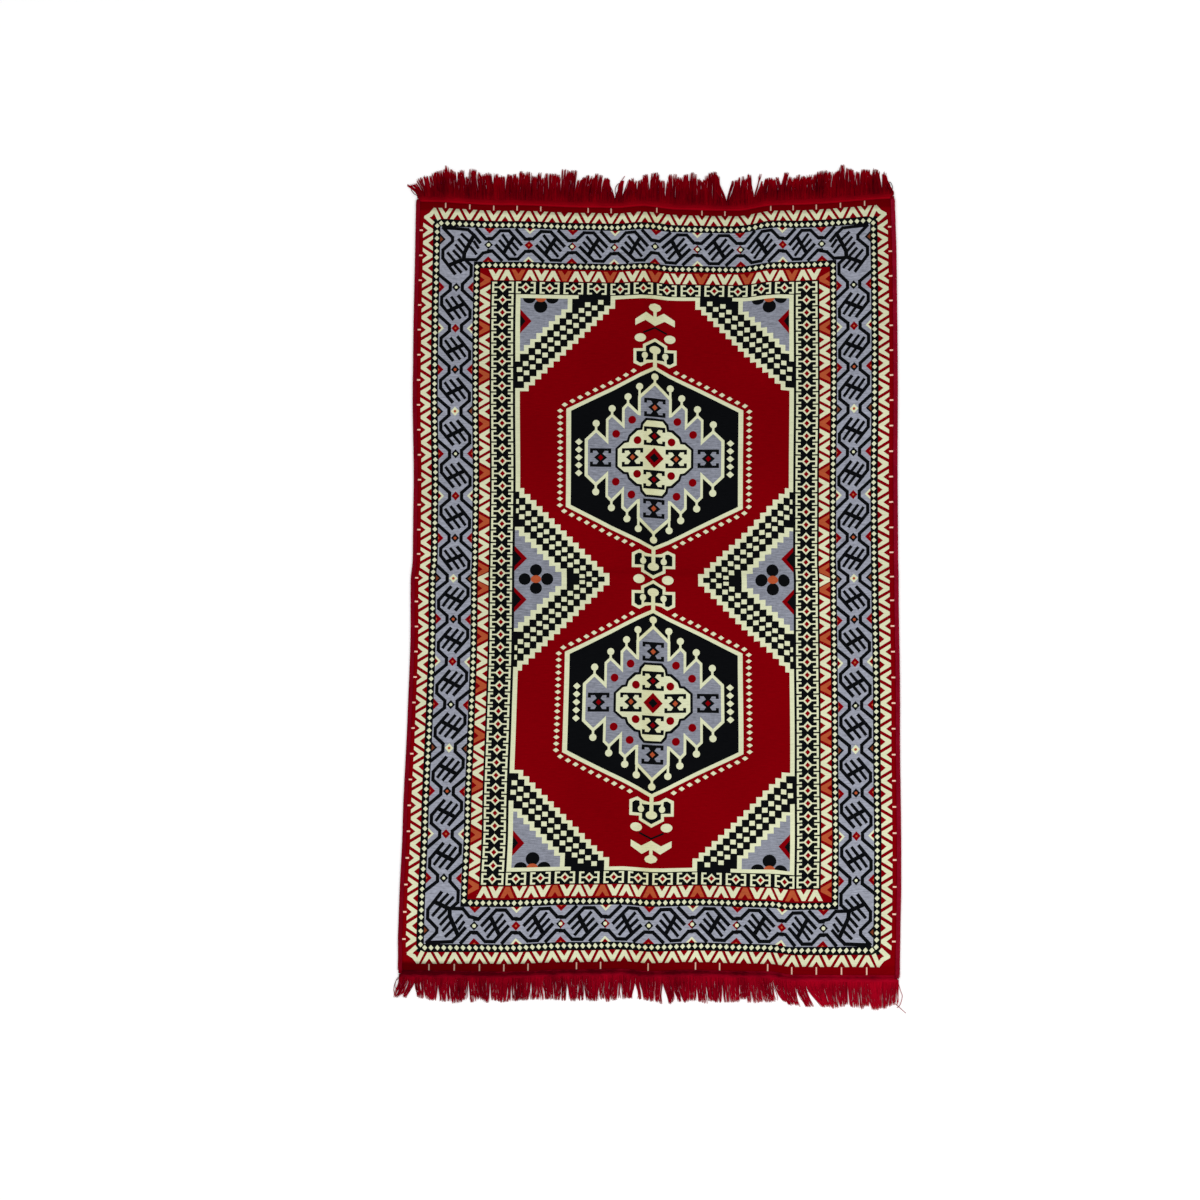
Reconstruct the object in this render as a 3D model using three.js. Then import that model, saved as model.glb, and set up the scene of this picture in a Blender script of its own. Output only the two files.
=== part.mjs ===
import * as THREE from 'three';

// A flat-woven kilim rug lying on the floor: the woven cloth, a binding round each long side and a
// fringe along each end.
// Millimetres, +Z up. +X runs across the rug and +Y along it, towards its head end. The origin is on
// the floor below the middle of the rug.

// Woven cloth
const rugLength = 1829;         // woven length, end to end
const rugWidth = 1155;          // over both side bindings
const clothThickness = 3;
const gap = 0.3;                // between pieces that lie against each other

// Side bindings: a tape folded over, round and under each long edge
const bindingWidth = 10;
const bindingWall = 1;
const bindingTurn = 2;          // how far the rolled outer edge takes to turn over
const liftRun = 21;             // the cloth climbs onto the tape's lower lip over this width

// Fringes: a heading tape over the cloth's end, with bunches of strands beyond it
const headingDepth = 7;
const headingThickness = 1.4;
const endClearance = 2;         // strands pass this far beyond the cloth's end before they drop
const dropRun = 7;
const strandThickness = 2.4;
const bunchPitch = 24;
const bunchWidth = 20;
const tipWidth = 11;
const longestBunch = 80;
const shortestBunch = 60;
const cornerLean = 9;           // the last bunches lean out over the corners

// Grid of the cloth
const columnStep = 42;
const rowStep = 70;

const halfLength = rugLength / 2;
const halfWidth = rugWidth / 2;
const clothEdge = halfWidth - bindingWall - 2 * gap;
const headingEdge = halfWidth - bindingWidth - gap;
const headingStart = halfLength - headingDepth;
const lipHeight = bindingWall + gap;

// How far each end and side strays from a straight line. Ends: towards +Y at a place across the rug.
const headDrift = [
  { at: -577, shift: 8 },
  { at: -350, shift: 2 },
  { at: -150, shift: -6 },
  { at: -90, shift: -8 },
  { at: -30, shift: -4 },
  { at: 60, shift: -13 },
  { at: 200, shift: -15 },
  { at: 290, shift: -2 },
  { at: 350, shift: -4 },
  { at: 577, shift: 9 },
];
const footDrift = [
  { at: -577, shift: -5 },
  { at: -340, shift: -6 },
  { at: -170, shift: 1 },
  { at: -60, shift: 3 },
  { at: 0, shift: -2 },
  { at: 110, shift: 2 },
  { at: 280, shift: -1 },
  { at: 330, shift: -8 },
  { at: 577, shift: -5 },
];
// Sides: towards +X at a place along the rug
const leftDrift = [
  { at: -914, shift: -7 },
  { at: -560, shift: -1 },
  { at: -330, shift: 4 },
  { at: -80, shift: 6 },
  { at: 200, shift: 5 },
  { at: 480, shift: -3 },
  { at: 914, shift: -5 },
];
const rightDrift = [
  { at: -914, shift: 7 },
  { at: -640, shift: 7 },
  { at: -330, shift: 4 },
  { at: 0, shift: 0 },
  { at: 350, shift: -2 },
  { at: 560, shift: -2 },
  { at: 914, shift: -7 },
];

// Where the cloth stands off the floor: the two fold marks and a few soft ripples near the ends
const lengthFoldAt = -8;
const crossFoldAt = 20;
const foldReach = 26;
const ridges = [
  { from: [lengthFoldAt, -880], to: [lengthFoldAt, 880], height: 4, reach: foldReach },
  { from: [-540, crossFoldAt], to: [540, crossFoldAt], height: 3, reach: foldReach },
  { from: [285, 640], to: [285, 880], height: 3, reach: 60 },
  { from: [-190, 700], to: [-190, 880], height: 2, reach: 60 },
  { from: [310, -880], to: [310, -690], height: 3, reach: 60 },
  { from: [-170, -880], to: [-170, -740], height: 2, reach: 60 },
  { from: [150, -470], to: [350, -510], height: 3, reach: 60 },
];
const edgeFade = 45;            // ridges die out this far from the bindings and headings

function mix(a, b, t) {
  return a + (b - a) * t;
}

function smooth(t) {
  const s = Math.min(Math.max(t, 0), 1);
  return s * s * (3 - 2 * s);
}

function drift(table, at) {
  const last = table.length - 1;
  if (at <= table[0].at) return table[0].shift;
  if (at >= table[last].at) return table[last].shift;
  const k = table.findIndex((row) => row.at > at) - 1;
  const t = (at - table[k].at) / (table[k + 1].at - table[k].at);
  return mix(table[k].shift, table[k + 1].shift, smooth(t));
}

// Where a point of the straight, true rug lies on the floor
function laid(x, y) {
  const across = (x + halfWidth) / rugWidth;
  const along = (y + halfLength) / rugLength;
  return {
    x: x + mix(drift(leftDrift, y), drift(rightDrift, y), across),
    y: y + mix(drift(footDrift, x), drift(headDrift, x), along),
  };
}

function distanceTo(ridge, x, y) {
  const runX = ridge.to[0] - ridge.from[0];
  const runY = ridge.to[1] - ridge.from[1];
  const along = ((x - ridge.from[0]) * runX + (y - ridge.from[1]) * runY) / (runX ** 2 + runY ** 2);
  const t = Math.min(Math.max(along, 0), 1);
  return Math.hypot(x - ridge.from[0] - t * runX, y - ridge.from[1] - t * runY);
}

// Height of the cloth's underside over the floor
function rise(x, y) {
  const fromSide = clothEdge - bindingWidth - Math.abs(x);
  const fromEnd = headingStart - Math.abs(y);
  const fade = smooth(fromSide / edgeFade) * smooth(fromEnd / edgeFade);
  let height = 0;
  for (const ridge of ridges) {
    const away = distanceTo(ridge, x, y);
    if (away < ridge.reach) {
      height += ridge.height * fade * (1 + Math.cos(Math.PI * away / ridge.reach)) / 2;
    }
  }
  const lift = 1 - (halfWidth - bindingWidth - Math.abs(x)) / liftRun;
  return height + lipHeight * Math.min(Math.max(lift, 0), 1);
}

// A closed sheet over a grid of corners, each with its place and its lowest and highest point. Cells
// that hasCell leaves out are open, and every open edge gets a wall.
function sheetSolid(columns, rows, corner, hasCell = () => true) {
  const positions = [];
  const index = [];
  const numbered = new Map();

  function under(i, j) {
    const key = j * (columns + 1) + i;
    if (!numbered.has(key)) {
      const at = corner(i, j);
      numbered.set(key, positions.length / 3);
      positions.push(at.x, at.y, at.low, at.x, at.y, at.high);
    }
    return numbered.get(key);
  }

  function cell(i, j) {
    return i >= 0 && j >= 0 && i < columns && j < rows && hasCell(i, j);
  }

  function wall(a, b) {
    index.push(a, b, b + 1, a, b + 1, a + 1);
  }

  for (let j = 0; j < rows; j++) {
    for (let i = 0; i < columns; i++) {
      if (!cell(i, j)) continue;
      const nearLeft = under(i, j);
      const nearRight = under(i + 1, j);
      const farRight = under(i + 1, j + 1);
      const farLeft = under(i, j + 1);
      index.push(nearLeft + 1, nearRight + 1, farRight + 1, nearLeft + 1, farRight + 1, farLeft + 1);
      index.push(nearLeft, farRight, nearRight, nearLeft, farLeft, farRight);
      if (!cell(i, j - 1)) wall(nearLeft, nearRight);
      if (!cell(i + 1, j)) wall(nearRight, farRight);
      if (!cell(i, j + 1)) wall(farRight, farLeft);
      if (!cell(i - 1, j)) wall(farLeft, nearLeft);
    }
  }
  return solid(positions, index);
}

function solid(positions, index) {
  const geometry = new THREE.BufferGeometry();
  geometry.setAttribute('position', new THREE.Float32BufferAttribute(positions, 3));
  geometry.setIndex(index);
  geometry.computeVertexNormals();
  return geometry;
}

// Evenly spaced places from one edge to the other, closer together over a fold mark
function gridLines(edge, step, fold) {
  const count = Math.round(2 * edge / step);
  const even = Array.from({ length: count + 1 }, (_, k) => -edge + k * 2 * edge / count);
  const close = [-1, -0.5, 0, 0.5, 1].map((part) => fold + part * foldReach);
  const clear = even.filter((at) => Math.abs(at - fold) > 1.3 * foldReach);
  return [...clear, ...close].sort((a, b) => a - b);
}

const liftStart = halfWidth - bindingWidth - liftRun;
const liftEnd = halfWidth - bindingWidth;
const inner = gridLines(liftStart, columnStep, lengthFoldAt);
const columnsAt = [-clothEdge, -liftEnd, ...inner, liftEnd, clothEdge];
const rowsAt = [-halfLength, ...gridLines(headingStart, rowStep, crossFoldAt), halfLength];

function clothGeometry() {
  return sheetSolid(columnsAt.length - 1, rowsAt.length - 1, (i, j) => {
    const at = laid(columnsAt[i], rowsAt[j]);
    const low = rise(columnsAt[i], rowsAt[j]);
    return { x: at.x, y: at.y, low, high: low + clothThickness };
  });
}

// The tape's section, seen with the cloth's edge entering from the left: how far in from the rug's
// side, and the height
const slotHigh = bindingWall + 2 * gap + clothThickness;
const bindingHeight = slotHigh + bindingWall;
const bindingSection = [
  { inward: bindingWidth, z: 0 },
  { inward: bindingTurn, z: 0 },
  { inward: 0.5, z: 0.7 },
  { inward: 0, z: bindingTurn },
  { inward: 0, z: bindingHeight - bindingTurn },
  { inward: 0.5, z: bindingHeight - 0.7 },
  { inward: bindingTurn, z: bindingHeight },
  { inward: bindingWidth, z: bindingHeight },
  { inward: bindingWidth, z: slotHigh },
  { inward: bindingWall + gap, z: slotHigh },
  { inward: bindingWall + gap, z: bindingWall },
  { inward: bindingWidth, z: bindingWall },
];

// side is 1 for the right binding and -1 for the left one
function bindingGeometry(side) {
  const positions = [];
  const index = [];
  const around = bindingSection.length;
  for (const y of rowsAt) {
    for (const point of bindingSection) {
      const at = laid(side * (halfWidth - point.inward), y);
      positions.push(at.x, at.y, point.z);
    }
  }
  function triangle(a, b, c) {
    if (side > 0) index.push(a, b, c);
    else index.push(a, c, b);
  }
  for (let j = 0; j < rowsAt.length - 1; j++) {
    for (let k = 0; k < around; k++) {
      const here = j * around + k;
      const next = j * around + (k + 1) % around;
      triangle(here, next + around, next);
      triangle(here, here + around, next + around);
    }
  }
  const outline = bindingSection.map((point) => new THREE.Vector2(-point.inward, point.z));
  const far = (rowsAt.length - 1) * around;
  for (const [a, b, c] of THREE.ShapeUtils.triangulateShape(outline, [])) {
    triangle(a, b, c);
    triangle(far + a, far + c, far + b);
  }
  return solid(positions, index);
}

// The comb at one end; end is 1 for the head and -1 for the foot. Bunches and the slits between them
// take turns across the heading.
const bunchCount = Math.round(2 * headingEdge / bunchPitch);
const pitch = (2 * headingEdge + bunchPitch - bunchWidth) / bunchCount;

function fringeGeometry(end) {
  const columns = 2 * bunchCount - 1;
  // How far out from the cloth's end each row of the comb lies, and how far the bunch has narrowed
  const stations = [
    { out: () => -headingDepth, onCloth: true, spread: 0 },
    { out: () => endClearance, onCloth: true, spread: 0 },
    { out: () => endClearance + dropRun, onCloth: false, spread: 0.1 },
    { out: (length) => 0.55 * length, onCloth: false, spread: 0.5 },
    { out: (length) => length, onCloth: false, spread: 1 },
  ];
  if (end < 0) stations.reverse();
  const headingRow = end > 0 ? 0 : stations.length - 2;

  function bunchLength(k) {
    const wander = (Math.sin(2.3 * k + end) + Math.sin(0.71 * k + 2)) / 4 + 0.5;
    return mix(shortestBunch, longestBunch, wander);
  }

  function corner(i, j) {
    const k = Math.floor(i / 2);
    const edgeSign = i % 2 === 0 ? -1 : 1;
    const middle = -headingEdge + bunchWidth / 2 + k * pitch;
    const station = stations[j];
    const width = mix(bunchWidth, tipWidth, station.spread);
    const lean = cornerLean * (middle / headingEdge) ** 9 * station.spread;
    const x = middle + edgeSign * width / 2 + lean;
    const at = laid(x, end * halfLength);
    const y = at.y + end * station.out(bunchLength(k));
    const low = station.onCloth ? rise(x, end * halfLength) + clothThickness + gap : 0;
    const thickness = station.onCloth ? headingThickness : strandThickness;
    return { x: at.x, y, low, high: low + thickness };
  }

  return sheetSolid(columns, stations.length - 1, corner, (i, j) => j === headingRow || i % 2 === 0);
}

function mesh(name, geometry, color) {
  const material = new THREE.MeshStandardMaterial({ color, roughness: 0.95, metalness: 0 });
  const piece = new THREE.Mesh(geometry, material);
  piece.name = name;
  return piece;
}

const rug = new THREE.Group();
rug.add(mesh('cloth', clothGeometry(), 0x8c0a14));
rug.add(mesh('binding_left', bindingGeometry(-1), 0x7a0c26));
rug.add(mesh('binding_right', bindingGeometry(1), 0x7a0c26));
rug.add(mesh('fringe_head', fringeGeometry(1), 0x8a0d1c));
rug.add(mesh('fringe_foot', fringeGeometry(-1), 0x8a0d1c));

export default rug;
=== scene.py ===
import math
import random

import bmesh
import bpy
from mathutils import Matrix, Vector
from mathutils.geometry import delaunay_2d_cdt


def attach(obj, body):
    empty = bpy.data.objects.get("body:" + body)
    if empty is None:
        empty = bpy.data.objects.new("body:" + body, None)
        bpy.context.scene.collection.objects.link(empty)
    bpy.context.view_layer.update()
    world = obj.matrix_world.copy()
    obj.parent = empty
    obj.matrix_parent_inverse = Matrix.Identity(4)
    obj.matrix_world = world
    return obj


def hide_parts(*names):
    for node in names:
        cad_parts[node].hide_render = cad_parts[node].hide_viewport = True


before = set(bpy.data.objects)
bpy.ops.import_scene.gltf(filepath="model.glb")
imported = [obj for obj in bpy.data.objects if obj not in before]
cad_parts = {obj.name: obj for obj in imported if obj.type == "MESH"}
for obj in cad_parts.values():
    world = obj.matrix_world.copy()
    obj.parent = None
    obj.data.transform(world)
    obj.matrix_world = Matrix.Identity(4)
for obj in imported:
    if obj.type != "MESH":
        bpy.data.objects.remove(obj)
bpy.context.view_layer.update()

print("frame loaded:", ", ".join(sorted(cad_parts)))

scene = bpy.context.scene
scene.view_settings.view_transform = "Standard"
scene.view_settings.look = "None"


# The camera hangs over the rug, a little towards its foot and its right side
view = dict(lensAngle=24, place=(0.5086, -0.9052, 6.5719), turn=(7.492, 5.377, 0.797))
camera = bpy.data.objects.new("camera", bpy.data.cameras.new("camera"))
camera.data.angle = math.radians(view["lensAngle"])
camera.location = view["place"]
camera.rotation_euler = [math.radians(angle) for angle in view["turn"]]
scene.collection.objects.link(camera)
scene.camera = camera


# Nodes, for materials and for Geometry Nodes alike: a wire is one output, and sums on it add Math nodes
class Wire:
    def __init__(self, tree, socket):
        self.tree = tree
        self.socket = socket

    def math(self, operation, *values):
        return addNode(self.tree, "ShaderNodeMath", {"operation": operation}, values)

    def __add__(self, other):
        return self.math("ADD", self, other)

    def __sub__(self, other):
        return self.math("SUBTRACT", self, other)

    def __rsub__(self, other):
        return self.math("SUBTRACT", other, self)

    def __mul__(self, other):
        return self.math("MULTIPLY", self, other)

    def __truediv__(self, other):
        return self.math("DIVIDE", self, other)

    def __abs__(self):
        return self.math("ABSOLUTE", self)

    __radd__ = __add__
    __rmul__ = __mul__

    def sine(self):
        return self.math("SINE", self)

    def floor(self):
        return self.math("FLOOR", self)

    def atMost(self, other):
        return self.math("MINIMUM", self, other)

    def atLeast(self, other):
        return self.math("MAXIMUM", self, other)

    # 0 where the value is at low, 1 where it is at high, and smooth between
    def ramp(self, low, high):
        settings = {"interpolation_type": "SMOOTHSTEP"}
        limits = {"Value": self, "From Min": low, "From Max": high}
        return addNode(self.tree, "ShaderNodeMapRange", settings, limits)

    def other(self, name):
        return Wire(self.tree, pick(self.socket.node.outputs, name))


def pick(sockets, name):
    if isinstance(name, int):
        return sockets[name]
    return next(socket for socket in sockets if name in (socket.name, socket.identifier) and socket.enabled)


def addNode(tree, kind, settings=None, inputs=(), output=None):
    node = tree.nodes.new(kind)
    for name, value in (settings or {}).items():
        setattr(node, name, value)
    for name, value in (inputs.items() if isinstance(inputs, dict) else enumerate(inputs)):
        if isinstance(value, Wire):
            tree.links.new(value.socket, pick(node.inputs, name))
        else:
            pick(node.inputs, name).default_value = value
    if output is not None:
        return Wire(tree, pick(node.outputs, output))
    return Wire(tree, next((socket for socket in node.outputs if socket.enabled), None))


# Goes from one colour to another, or multiplies them
def mixColour(tree, factor, low, high, kind="MIX"):
    settings = {"data_type": "RGBA", "blend_type": kind}
    return addNode(tree, "ShaderNodeMix", settings, {"Factor": factor, "A": low, "B": high})


def linear(red, green, blue, alpha=1):
    parts = [c / 255 for c in (red, green, blue)]
    return [c / 12.92 if c <= 0.04045 else ((c + 0.055) / 1.055) ** 2.4 for c in parts] + [alpha]


# The rug's sizes, in metres, as the model holds them
rug = dict(length=1.829, width=1.155, thickness=0.003, gap=0.0003, bindingWidth=0.010,
           bindingWall=0.001, liftRun=0.021, headingDepth=0.007)
halfLength = rug["length"] / 2
halfWidth = rug["width"] / 2
clothEdge = halfWidth - rug["bindingWall"] - 2 * rug["gap"]
headingEdge = halfWidth - rug["bindingWidth"] - rug["gap"]
headingStart = halfLength - rug["headingDepth"]
lipHeight = rug["bindingWall"] + rug["gap"]

# How far each end and side strays from a straight line, in millimetres: place along it, and shift
headDrift = [(-577, 8), (-350, 2), (-150, -6), (-90, -8), (-30, -4), (60, -13), (200, -15), (290, -2),
             (350, -4), (577, 9)]
footDrift = [(-577, -5), (-340, -6), (-170, 1), (-60, 3), (0, -2), (110, 2), (280, -1), (330, -8), (577, -5)]
leftDrift = [(-914, -7), (-560, -1), (-330, 4), (-80, 6), (200, 5), (480, -3), (914, -5)]
rightDrift = [(-914, 7), (-640, 7), (-330, 4), (0, 0), (350, -2), (560, -2), (914, -7)]

# Where the cloth stands off the floor, in millimetres: from, to, height and reach
ridges = [((-8, -880), (-8, 880), 4, 26), ((-540, 20), (540, 20), 3, 26), ((285, 640), (285, 880), 3, 60),
          ((-190, 700), (-190, 880), 2, 60), ((310, -880), (310, -690), 3, 60),
          ((-170, -880), (-170, -740), 2, 60), ((150, -470), (350, -510), 3, 60)]
edgeFade = 0.045


def mix(a, b, t):
    return a + (b - a) * t


def smooth(t):
    s = min(max(t, 0), 1)
    return s * s * (3 - 2 * s)


# The value at a place, from a table of (place, value) with the places in order
def readTable(table, at):
    for (a, low), (b, high) in zip(table, table[1:]):
        if at < b:
            return mix(low, high, smooth((at - a) / (b - a)))
    return table[-1][1]


# The same in metres, from a table in millimetres
def drift(table, at):
    return readTable(table, at * 1000) / 1000


# Where a point of the straight, true rug lies on the floor
def laid(x, y):
    across = (x + halfWidth) / rug["width"]
    along = (y + halfLength) / rug["length"]
    return (x + mix(drift(leftDrift, y), drift(rightDrift, y), across),
            y + mix(drift(footDrift, x), drift(headDrift, x), along))


# Small bends in the cloth beyond that, in millimetres: rows from the foot to the head, each with its shifts
# at the places in settleX
settleX = [-545, -370, -160, 0, 160, 280, 370, 545, 577]
settleAcross = [
    (-890, (1, 7, 6, 2, -3, -6, -8, -6, -3)), (-830, (-1, -1, 1, 2, 1, 2, 0, -3, -2)),
    (-720, (-2, 0, 2, 3, 3, 3, 0, -2, 0)), (-600, (-1, 2, 3, 3, 3, 3, 1, -2, 0)),
    (-420, (-1, 1, 2, 3, 4, 4, 0, -2, 0)), (-180, (1, 3, 4, 2, 1, 1, -1, -2, 1)),
    (0, (-2, 2, 2, 1, 3, 3, -1, -3, 1)), (50, (2, 2, 1, 1, 1, 1, -3, -4, 0)),
    (200, (1, 2, 2, 1, 1, 1, -2, -4, 0)), (440, (1, 3, 5, 5, 4, 3, 1, -1, 1)),
    (620, (0, 1, 4, 4, 3, 2, 0, -1, 0)), (800, (1, 3, 7, 4, 7, 6, 1, 0, 1)),
    (850, (1, 6, 9, 7, 5, 5, 0, 0, 0)), (900, (1, 7, 11, 8, 3, 0, -4, -1, -1)),
]
settleAlong = [
    (-914, (-5, -4, -4, -2, -2, 0, 0, -1, -1)), (-890, (-2, 1, 1, 4, 4, 5, 6, 5, 5)),
    (-830, (0, 2, 4, 4, 6, 6, 8, 9, 9)), (-720, (5, 6, 7, 8, 8, 6, 9, 12, 12)),
    (-600, (8, 9, 2, 2, 2, 3, 11, 14, 14)), (-420, (8, 6, 2, 3, 3, 4, 8, 13, 13)),
    (-180, (7, 6, 2, 2, 3, 5, 7, 10, 10)), (-60, (5, 5, 2, 2, 3, 0, 5, 9, 9)),
    (40, (-1, 0, 2, 3, 3, 0, 1, 2, 2)), (100, (-4, -1, 2, 2, 2, 0, 0, 0, 0)),
    (260, (-4, 0, 5, 4, 6, 3, 1, 0, 0)), (440, (-3, 2, 5, 5, 6, 5, 3, 2, 2)),
    (620, (0, 1, 5, 5, 7, 0, 0, 1, 1)), (740, (1, 3, 3, 2, 1, -2, 2, 0, 0)),
    (850, (4, 2, 2, 2, 0, 0, 1, -1, -1)), (914, (7, 2, 2, 2, -1, -2, 1, 0, 0)),
]
settleTables = [[(at, list(zip(settleX, row))) for at, row in table]
                for table in (settleAcross, settleAlong)]


def settle(x, y):
    shifts = [drift([(at, readTable(row, x * 1000)) for at, row in table], y) for table in settleTables]
    return x + shifts[0], y + shifts[1]


# Height of the cloth's underside over the floor
def rise(x, y):
    fromSide = clothEdge - rug["bindingWidth"] - abs(x)
    fromEnd = headingStart - abs(y)
    fade = smooth(fromSide / edgeFade) * smooth(fromEnd / edgeFade)
    height = 0
    for start, end, top, reach in ridges:
        run = Vector(end) - Vector(start)
        toPoint = Vector((x, y)) * 1000 - Vector(start)
        t = min(max(toPoint.dot(run) / run.length_squared, 0), 1)
        away = (toPoint - run * t).length
        if away < reach:
            height += top / 1000 * fade * (1 + math.cos(math.pi * away / reach)) / 2
    lift = 1 - (halfWidth - rug["bindingWidth"] - abs(x)) / rug["liftRun"]
    return height + lipHeight * min(max(lift, 0), 1)


# The design is charted on one quarter of the rug and woven four times, mirrored. One step of the chart is a
# couple of yarns. u counts steps out from the middle line, and v from the middle towards an end.
chartStep = 0.002365
chartEdge = clothEdge / chartStep
chartEnd = halfLength / chartStep
centreShift = 0.0038            # the design sits a little towards the head


class Chart:
    def __init__(self, shapes, u=0, v=0, turned=False, flip=1, stretch=1):
        self.shapes = shapes
        self.u, self.v = u, v
        self.turned, self.flip, self.stretch = turned, flip, stretch

    # A motif's own place: turned swaps its two directions, and flip turns its second one round
    def spot(self, u, v, turned=False, flip=1, stretch=1):
        return Chart(self.shapes, u, v, turned, flip, stretch)

    def patch(self, yarn, *corners):
        placed = []
        for a, b in corners:
            a, b = a * self.stretch, b * self.flip
            if self.turned:
                a, b = b, a
            placed.append((self.u + a, self.v + b))
        area = sum(p[0] * q[1] - q[0] * p[1] for p, q in zip(placed, placed[1:] + placed[:1]))
        self.shapes.append((yarn, placed if area > 0 else placed[::-1]))

    def block(self, yarn, a0, a1, b0, b1):
        self.patch(yarn, (a0, b0), (a1, b0), (a1, b1), (a0, b1))

    def diamond(self, yarn, a, b, halfA, halfB):
        self.patch(yarn, (a - halfA, b), (a, b - halfB), (a + halfA, b), (a, b + halfB))

    def oval(self, yarn, a, b, radiusA, radiusB=None, sides=14):
        radiusB = radiusB or radiusA
        turns = [2 * math.pi * (k + 0.5) / sides for k in range(sides)]
        self.patch(yarn, *[(a + radiusA * math.cos(t), b + radiusB * math.sin(t)) for t in turns])

    # A small dot with four blunt corners
    def dot(self, yarn, a, b, radiusA, radiusB):
        blunt = 0.52
        quarter = [(1, 0), (blunt, blunt)]
        for k in range(3):
            quarter += [(-y, x) for x, y in quarter[-2:]]
        self.patch(yarn, *[(a + radiusA * x, b + radiusB * y) for x, y in quarter])

    # The half of an oval on the near side of b = 0
    def arch(self, yarn, a, radiusA, radiusB, sides=9):
        turns = [math.pi * k / sides for k in range(sides + 1)]
        self.patch(yarn, *[(a + radiusA * math.cos(t), radiusB * math.sin(t)) for t in turns])

    # A line of yarn through the points; each length of it runs a little past its ends
    def line(self, yarn, width, *points, overrun=0.35):
        for start, end in zip(points, points[1:]):
            start, end = Vector(start), Vector(end)
            along = (end - start).normalized()
            side = Vector((-along.y, along.x)) * width / 2
            start, end = start - along * width * overrun, end + along * width * overrun
            self.patch(yarn, *[tuple(p) for p in (start - side, end - side, end + side, start + side)])

    # Both halves of a motif that turns onto itself about its middle
    def lineTwice(self, yarn, width, *points, overrun=0.35):
        self.line(yarn, width, *points, overrun=overrun)
        self.line(yarn, width, *[(-a, -b) for a, b in points], overrun=overrun)


# Corners of a stair that climbs or falls by the given step, from its first corner on
def stair(u, v, stepU, stepV, count):
    corners = []
    for k in range(count):
        corners += [(u + stepU * k, v + stepV * k), (u + stepU * (k + 1), v + stepV * k)]
    return corners


# How far out each band reaches, from the outer row of dots to the row of barred diamonds, then the field and
# the stepped part of it
bands = [("black", 226, 367.5), ("lavender", 218.7, 360), ("black", 184.2, 325), ("red", 177.5, 318),
         ("black", 166.65, 305.2)]
field, innerField = (140.55, 291.3), (135.95, 287.5)
# Lines of dots: whether it is a column, where it runs, how many dots, the first one's place and the step
dots = dict(size=(2.4, 2.55), lines=[(False, 363.5, 36, 3.07, 6.14), (True, 222, 57, 0, 6.44),
                                     (False, 321.3, 29, 3.06, 6.12), (True, 180.9, 51, 3.16, 6.33)])


# The first shape is the whole quarter; what the others draw beyond it is left out
def drawBands(chart):
    chart.block("red", 0, chartEdge, 0, chartEnd)
    for yarn, u, v in bands:
        chart.block(yarn, -1, u, -1, v)


def drawDots(chart):
    for isColumn, line, count, first, step in dots["lines"]:
        for k in range(count):
            place = first + step * k
            chart.dot("cream", *((line, place) if isColumn else (place, line)), *dots["size"])


# One V of a zigzag: open at b = 0, its tip at the depth
def chevron(chart, yarn, openHalf, tipHalf, arm, notch, depth):
    chart.patch(yarn, (-openHalf, 0), (arm - openHalf, 0), (0, notch), (openHalf - arm, 0), (openHalf, 0),
                (tipHalf, depth), (-tipHalf, depth))


# The V at one place of a border's line: it opens on the line, and the way tells which side its tip is on
def drawV(chart, isSide, line, place, way, yarn, size):
    u, v = (line, place) if isSide else (place, line)
    chevron(chart.spot(u, v, turned=isSide, flip=way), yarn, **size)


# For the ends and the sides: the lines that the Vs open on, their pitch and number, which have no tick, from
# where to where a tick runs, half its width, and the V's size
outerZigzag = [
    (False, 378.4, 367.7, 23.77, 10, (1, 4), (378.6, 386), 0.65,
     dict(openHalf=7.4, tipHalf=1.5, arm=3.8, notch=5, depth=10.5)),
    (True, 236.3, 226.1, 25.41, 15, (), (236.6, 240.4), 0.75,
     dict(openHalf=7.7, tipHalf=1.6, arm=3.8, notch=4.8, depth=10)),
]


def drawOuterZigzag(chart):
    for isSide, outer, inner, pitch, count, bare, tick, half, size in outerZigzag:
        for k in range(count):
            place = pitch * k
            drawV(chart, isSide, outer, place, -1, "cream", size)
            if k not in bare:
                sides = (place - half, place + half)
                chart.block("tick", *(tick + sides if isSide else sides + tick))
            if k < count - 1:
                drawV(chart, isSide, inner, pitch * (k + 0.5), 1, "cream", size)
    chart.line("cream", 4, (220.7, 368), (225, 376.4), (228.9, 371.7), (233.5, 369), (227, 363.6))


# For the ends and the sides: the lines, the first V's place on each, the pitch and number, the depth, and
# half the opening of each yarn's V
innerZigzag = [
    (False, 316.6, 305.7, 0, 11.55, 23.1, 8, 10.7, dict(cream=7.2, orange=6.9)),
    (True, 177.2, 166.8, 10.2, 22.5, 24.65, 13, 10.3, dict(cream=7.6, orange=7.4)),
]


def drawInnerZigzag(chart):
    sizes = dict(cream=dict(tipHalf=1.7, arm=4.2, notch=4.8), orange=dict(tipHalf=1.9, arm=3.9, notch=4.4))
    for isSide, outer, inner, firstOuter, firstInner, pitch, count, depth, openings in innerZigzag:
        for yarn, size in sizes.items():
            size.update(openHalf=openings[yarn], depth=depth)
        for k in range(count):
            yarn = "cream" if k % 2 else "orange"
            drawV(chart, isSide, outer, firstOuter + pitch * k, -1, yarn, sizes[yarn])
            if k < count - 1:
                drawV(chart, isSide, inner, firstInner + pitch * k, 1, "cream", sizes["cream"])
    drawV(chart, True, 166.8, 0, 1, "cream", dict(sizes["cream"], openHalf=7))


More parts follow.
